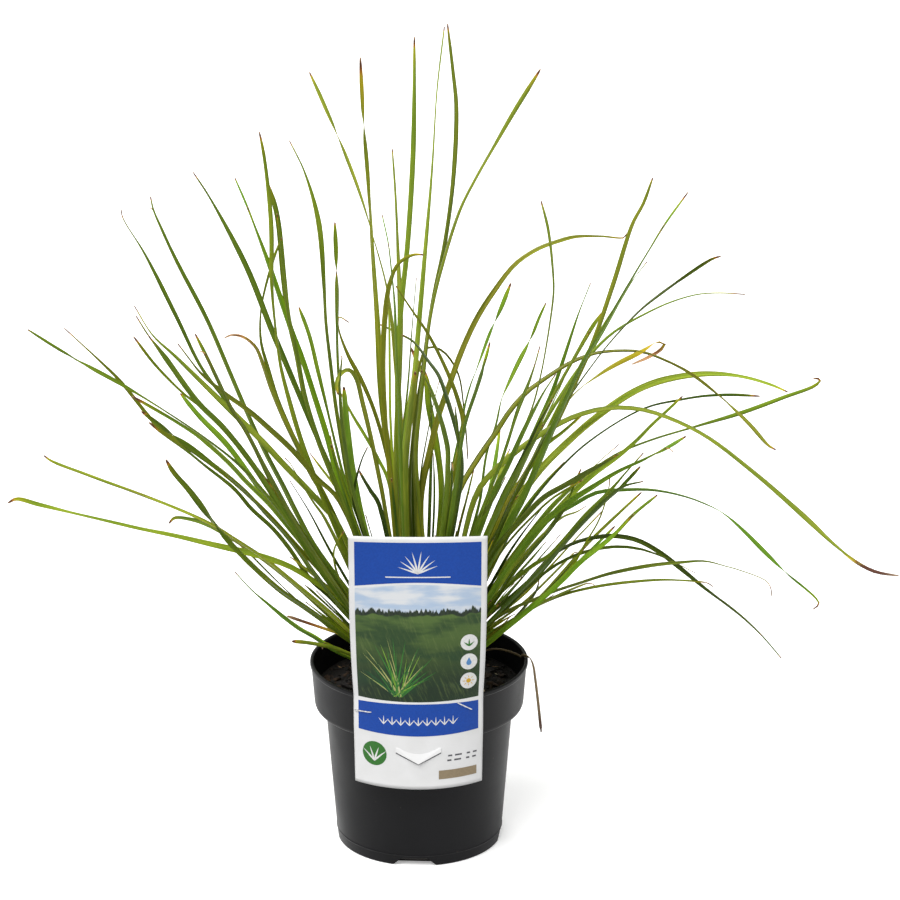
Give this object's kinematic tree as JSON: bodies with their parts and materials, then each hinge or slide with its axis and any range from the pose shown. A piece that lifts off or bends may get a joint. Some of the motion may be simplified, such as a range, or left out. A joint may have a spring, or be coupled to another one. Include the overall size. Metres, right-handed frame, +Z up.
{
  "type": "potted lomandra",
  "caption": "Clump of long strap-like grass leaves in a round plastic nursery pot full of soil, with a blank-design card label stapled to the collar.",
  "frame": {"origin": "middle of the pot's flat foot, on the surface it stands on", "axes": "+Z up along the pot's axis, -Y the side with the label, +X to the right when facing the label"},
  "size_m": [0.6266, 0.3997, 0.6029],
  "materials": {
    "pot": "satin black moulded plastic",
    "soil": "dark bark potting mix",
    "leaf": "fresh strap leaves, slightly glossy",
    "card": "coated card, plain printed design",
    "staple": "galvanised wire",
    "dead_leaf": "dry dead leaf"
  },
  "bodies": {
    "root": {"pot": "pot", "soil": "soil", "shoot_01": "leaf", "shoot_02": "leaf", "shoot_03": "leaf", "shoot_04": "leaf", "shoot_05": "leaf", "shoot_06": "leaf", "shoot_07": "leaf", "shoot_08": "leaf", "shoot_09": "leaf", "shoot_10": "leaf", "shoot_11": "leaf", "shoot_12": "leaf", "label": "card", "staple_left": "staple", "staple_right": "staple", "dead_strand": "dead_leaf"}
  },
  "joints": []
}
